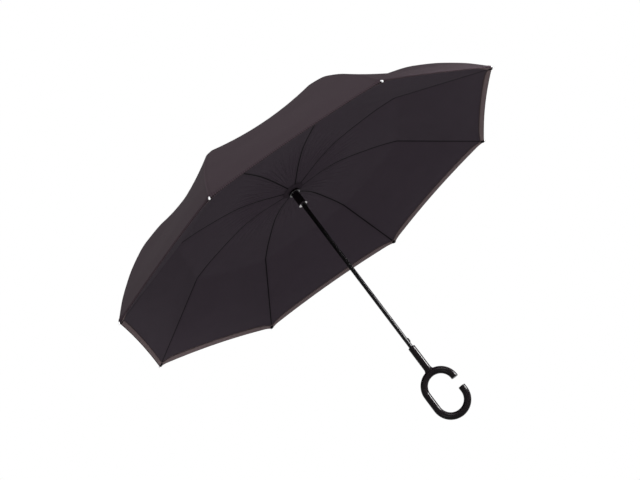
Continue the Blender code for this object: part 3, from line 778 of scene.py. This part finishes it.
# Outer collar
# A ring of the same cloth, gathered in small folds.
# It is held between the crown and the cap, where the gores end.
crown_seat = (0.0078, 0.6824)
cap_edge = (0.0215, 0.6823)
cap_folds = 24
cap_depth = 0.00025
collar_rows = 6
columns_in_fold = 6
clear_of_seam = 0.02


def cloth_collar(name, inner, outer, folds, depth, body, finish):
    """A flat collar of cloth between two circles of radius and height, with small folds towards its edge."""
    columns = folds * columns_in_fold
    points = []
    flat = []
    for turn in math.tau * np.arange(columns + 1) / columns:
        for share in np.linspace(0, 1, collar_rows):
            radius = inner[0] + (outer[0] - inner[0]) * share
            height = inner[1] + (outer[1] - inner[1]) * share + depth * share * math.cos(turn * folds)
            points.append((radius * math.cos(turn), radius * math.sin(turn), height))
            flat.append((clear_of_seam + turn * outer[0], radius))
    faces = grid_faces(columns + 1, collar_rows)
    piece = add_cloth(name, np.array(points), faces, np.array(flat), body)
    piece.data.materials.append(finish)


cloth_collar("outer_collar", crown_seat, cap_edge, cap_folds, cap_depth, "root", outer_finish)


# Lining
# Eight gores of the same cloth, a little more violet, are sewn to the runner's waist and to the rim.
# They swell near the runner in pleats, kink where the rods bear on them and run straight on to the rim.
rod_root = Vector((0.271089, 0.634475))
lining_seam = [
    (0.0189, 0.5891),
    (0.075, 0.5995),
    (0.137, 0.6066),
    (0.180, 0.6060),
    (0.215, 0.6034),
    (0.270, 0.5978),
    (0.320, 0.5895),
]
lining_end = (0.5290, 0.4851)
lining_dip = [(0, 0), (0.25, 0.0036), (0.55, 0.0060), (0.8, 0.0030), (1, -0.0048)]
straight_steps = 40
lining_length = 0.565
hem_rise_start = 0.86
hem_start = 0.9773
hem_lift = 0.0038
lift_width = 0.03
pleat_end = 0.42
pleat_fade = 0.30
pleat_clear = 0.05
pleat_depth = 0.0085
pleats = 9
pleat_wander = 1.1
wander_rate = 23
fine_pleats = 17
fine_depth = 0.5
fine_slant = 3
pleated_columns = 52
fold_slope = 0.79

lining_curve = smooth_table(lining_seam)
lining_straight = np.linspace(lining_seam[-1], lining_end, straight_steps)[1:].T
lining_line = measured_line(np.concatenate([lining_curve, lining_straight], axis=1))
lining_dips = smooth_table(lining_dip)


def lining_surface(along, across, side):
    """The lining's half gore, lifted before the hem, with pleats that fan out from the runner."""
    points = layer_surface(lining_line, lining_dips, along, across, side, -1)
    to_hem = ease((along - hem_rise_start) / (hem_start - hem_rise_start))
    to_hem = to_hem * np.clip((1 - along) / (1 - hem_start), 0, 1)
    points[..., 2] += hem_lift * to_hem * (1 - np.exp(-((from_tip(across) / lift_width) ** 2)))
    radius = np.interp(along, lining_line[2], lining_line[0])
    fade = ease((pleat_end - along) / pleat_fade) * ease(across / pleat_clear)
    broad = np.sin(across * math.tau * pleats + pleat_wander * np.sin(along * wander_rate))
    narrow = np.sin(across * math.tau * fine_pleats + fine_slant * along)
    points[..., 2] += pleat_depth * radius * fade * (broad + fine_depth * narrow)
    return points


# Its seam line is painted much darker, painted shade in the crease along each rib.
lining_finish = cloth_finish(
    "lining_cloth", (0.0452, 0.0345, 0.0448), roughness=0.75, contrast=0.06, sheen=0.03, painted_seam_light=0.9
)
lining_at_root = Vector((0.985, -0.115)).normalized()
lining_run = (lining_end[0] - lining_seam[-1][0], lining_end[1] - lining_seam[-1][1])
lining_way = Vector(lining_run).normalized()
elbow_border = (rod_root, lining_at_root, 0.0120, 0.020)
bend_border = (bend, lining_way, 0.0170, 0.028)
rim_start = 0.92
rim_fold = 0.07
# Each part's name, the body it goes with, its two borders, the share of width that it folds to, and its rows.
lining_parts = [
    ("hub", "inner_rib", 0.0, 0.185, 0.40, 18),
    ("inner", "inner_rib", 0.185, elbow_border, 0.24, 26),
    ("middle", "mid_rib", elbow_border, bend_border, 0.245, 24),
    ("outer", "outer_rib", bend_border, 0.83, 0.225, 18),
    ("brim", "outer_rib", 0.83, rim_start, 0.13, 10),
    ("rim", "outer_rib", rim_start, 1.0, rim_fold, 12),
]
for number in rib_numbers:
    for side, word in sides:
        for part, body, first, last, share, rows in lining_parts:
            columns = pleated_columns if body == "inner_rib" else gore_columns
            points, faces, flat = half_gore(lining_surface, -1, side, first, last, rows, columns)
            fold = fold_axis(points[:rows], side, share, fold_slope)
            name = f"lining_{part}_{word}_{number}"
            piece = add_cloth(name, turned(points, number), faces, flat, f"{body}_{number}")
            piece.data.materials.append(lining_finish)
            fold_away(piece, number, fold)
            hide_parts("inner_canopy")


# Lining collar
# A ring of the lining's cloth with small folds, painted darker than the lining all over as painted shade of
# its gathers.
# The lining's inner end is gathered round the runner's waist under the ribs.
waist = (0.0102, 0.5872)
waist_edge = (0.0275, 0.5893)
waist_folds = 32
waist_depth = 0.0005
# Painted shade: the gathered collar is the lining's cloth, painted darker.
painted_shade_waist_finish = cloth_finish(
    "gathered_lining_painted_shade", (0.0290, 0.0215, 0.0285), roughness=0.8, contrast=0.06, sheen=0.02, painted_seam_light=0.0
)
cloth_collar("lining_collar", waist, waist_edge, waist_folds, waist_depth, "runner", painted_shade_waist_finish)


# Hem
# The rim of both layers is bound with a folded tape, stitched through.
# On the lining's side it is painted lighter and browner than the cloth, partly its own colour and partly
# painted light where the turned hem catches it, and painted shade darkens it along its fold and inner edge.
# It is 13 mm wide on the lining's side and half that on the outer side.
hem_width = 0.0128
hem_fold = 0.0065
hem_rise = 0.0007
hem_bulge = 0.0010
hem_profile = [(1.0, 0.1), (0.97, 0.9), (0.75, 1.0), (0.5, 1.0), (0.25, 1.0), (0.06, 0.9)]
hem_columns = 26
# Painted lighter than the cloth: partly the tape's own colour, partly painted light where the turned hem
# catches it.
tape_colour_with_painted_light = (0.162, 0.124, 0.127)
inside_start = -0.0004
outside_start = -0.0012
thread_half = 0.0003
dash_share = 0.72
rib_rate = 1350.0
rib_height = 0.2


def raised(surface, along, across, side, rise, length_step=0.002, width_step=0.01):
    """Points a little above a half gore's surface, or below it."""
    here = surface(along, across, side)
    behind = surface(along - length_step, across, side)
    beside = surface(along, across + width_step, side)
    normal = np.cross(here - behind, beside - here)
    normal *= np.sign(normal[..., 2:3])
    normal /= np.linalg.norm(normal, axis=-1, keepdims=True)
    return here + normal * rise


def hem_half(side):
    """One half of a rib's hem, folded round the rim from the lining's side to the outer side."""
    across = np.linspace(0, 0.5, hem_columns)
    whole = np.ones(hem_columns)
    rows = []
    for share, rise in hem_profile:
        along = whole - hem_width * share / lining_length
        rows.append(raised(lining_surface, along, across, side, -hem_rise * rise))
    inner_edge = lining_surface(whole, across, side)
    outer_edge = outer_surface(whole, across, side)
    just_inside = lining_surface(whole * 0.99, across, side)
    way = inner_edge - just_inside
    way /= np.linalg.norm(way, axis=-1, keepdims=True)
    rows.append((inner_edge + outer_edge) / 2 + way * hem_bulge)
    for share, rise in reversed(hem_profile):
        along = whole - hem_fold * share / gore_length
        rows.append(raised(outer_surface, along, across, side, hem_rise * rise))
    grid = np.array(rows)
    fold_row = len(hem_profile)
    run = running_length(grid[fold_row])
    turn = running_length(grid[:, hem_columns // 2])
    flat = np.stack([np.tile(run, len(rows)), np.repeat(turn - turn[fold_row], hem_columns)], axis=-1)
    return grid.reshape(-1, 3), grid_faces(len(rows), hem_columns, side < 0), flat


def build_tape():
    """A node group for bound tape, on flat places in metres: ribs across it, stitches, and a mask of painted
    shade along its fold and inner edge.
    """
    defaults = {"Edge": 0.0016, "Inner": 0.0114, "Stitch": 0.0100, "Pitch": 0.0028}
    tree, source, result = new_effect("bound_tape", defaults, ("Painted_shade", "Stitches", "Ribs", "Outside"))
    place = add_node(tree, "ShaderNodeTexCoord").outputs["UV"]
    parts = add_node(tree, "ShaderNodeSeparateXYZ", {0: place}).outputs
    away = add_math(tree, "ABSOLUTE", parts["Y"])
    near_fold = add_math(tree, "LESS_THAN", away, source["Edge"])
    inside = add_math(tree, "LESS_THAN", parts["Y"], inside_start)
    # Painted shade: the tape's inside near its fold and the band along its inner edge are marked for
    # darkening.
    fold_shadow = add_math(tree, "MULTIPLY", near_fold, inside)
    inner_edge_shadow = add_math(tree, "GREATER_THAN", away, source["Inner"])
    tree.links.new(add_math(tree, "MAXIMUM", fold_shadow, inner_edge_shadow), result["Painted_shade"])
    off_line = add_math(tree, "ABSOLUTE", add_math(tree, "SUBTRACT", away, source["Stitch"]))
    on_line = add_math(tree, "LESS_THAN", off_line, thread_half)
    beat = add_math(tree, "FRACT", add_math(tree, "DIVIDE", parts["X"], source["Pitch"]))
    shown = add_math(tree, "LESS_THAN", beat, dash_share)
    tree.links.new(add_math(tree, "MULTIPLY", on_line, shown), result["Stitches"])
    ribs = add_math(tree, "SINE", add_math(tree, "MULTIPLY", parts["X"], rib_rate))
    tree.links.new(ribs, result["Ribs"])
    tree.links.new(add_math(tree, "GREATER_THAN", parts["Y"], outside_start), result["Outside"])
    return tree


hem_finish, hem_shader = new_finish("hem_tape", tape_colour_with_painted_light, 0.7)
hem_shader.inputs["Specular IOR Level"].default_value = 0.0
hem_tree = hem_finish.node_tree
hem_tape = add_node(hem_tree, "ShaderNodeGroup", node_tree=build_tape()).outputs
hem_colour = add_node(hem_tree, "ShaderNodeMix", data_type="RGBA")
hem_colour.inputs["A"].default_value = (*tape_colour_with_painted_light, 1)
hem_colour.inputs["B"].default_value = (*outer_colour, 1)
hem_tree.links.new(hem_tape["Outside"], hem_colour.inputs["Factor"])
hem_shade = 1.0
# The ribs and stitches are the tape's own, and the darkening by its fold and inner edge is painted shade.
for label, weight in (("Ribs", 0.24), ("Painted_shade", -0.60), ("Stitches", -0.3)):
    hem_shade = add_math(hem_tree, "MULTIPLY_ADD", hem_tape[label], weight, hem_shade)
hem_shaded = {0: hem_colour.outputs["Result"], "Scale": hem_shade}
hem_tint = add_node(hem_tree, "ShaderNodeVectorMath", hem_shaded, operation="SCALE")
hem_tree.links.new(hem_tint.outputs[0], hem_shader.inputs["Base Color"])
hem_height = add_math(hem_tree, "MULTIPLY_ADD", hem_tape["Ribs"], rib_height, hem_tape["Stitches"])
hem_relief = {"Strength": 0.5, "Distance": 0.0003, "Height": hem_height}
hem_bump = add_node(hem_tree, "ShaderNodeBump", hem_relief)
hem_tree.links.new(hem_bump.outputs["Normal"], hem_shader.inputs["Normal"])
for number in rib_numbers:
    for side, word in sides:
        points, faces, flat = hem_half(side)
        name = f"hem_{word}_{number}"
        piece = add_cloth(name, turned(points, number), faces, flat, f"outer_rib_{number}")
        piece.data.materials.append(hem_finish)
        seam = lining_surface(np.array([rim_start, 1.0]), np.zeros(2), side)
        fold_away(piece, number, fold_axis(seam, side, rim_fold, fold_slope))


# Corner pockets
# A small patch of black webbing with a rounded end.
# It is sewn inside each corner, over the tape, where the rod's tip goes through.
pocket_reach = 0.010
pocket_half = 0.0052
pocket_inset = 0.0004
pocket_radius = 0.52
pocket_round = 0.93
pocket_rise = 0.0009
pocket_swell = 0.0006
pocket_slope = 0.25
pocket_finish = cloth_finish(
    "pocket_webbing", (0.008, 0.0075, 0.008), roughness=0.8, contrast=0.3, sheen=0.02, painted_seam_light=0.0
)


def pocket_patch(rows=8, columns=13):
    """The patch on the lining's side of the corner, rounded at its inner end and slightly raised."""
    points = []
    flat = []
    for row in np.linspace(0, 1, rows):
        half = pocket_half * math.sqrt(1 - (row * pocket_round) ** 3)
        along = 1 - (pocket_inset + pocket_reach * row) / lining_length
        for column in np.linspace(-1, 1, columns):
            across = abs(column) * half / (2 * pocket_radius * math.sin(gore_angle / 2))
            side = 1 if column >= 0 else -1
            from_edge = min(1 - abs(column), 1 - row)
            rise = -pocket_rise - pocket_swell * ease(from_edge / pocket_slope)
            points.append(raised(lining_surface, np.array([along]), np.array([across]), side, rise)[0])
            flat.append((column * half, pocket_reach * row))
    return np.array(points), grid_faces(rows, columns), np.array(flat)


points, faces, flat = pocket_patch()
for number in rib_numbers:
    name = f"corner_pocket_{number}"
    pocket = add_cloth(name, turned(points, number), faces, flat, f"outer_rib_{number}")
    pocket.data.materials.append(pocket_finish)
    left_rim, left_flat = rim_parts[number, -1]
    right_rim, right_flat = rim_parts[number, 1]
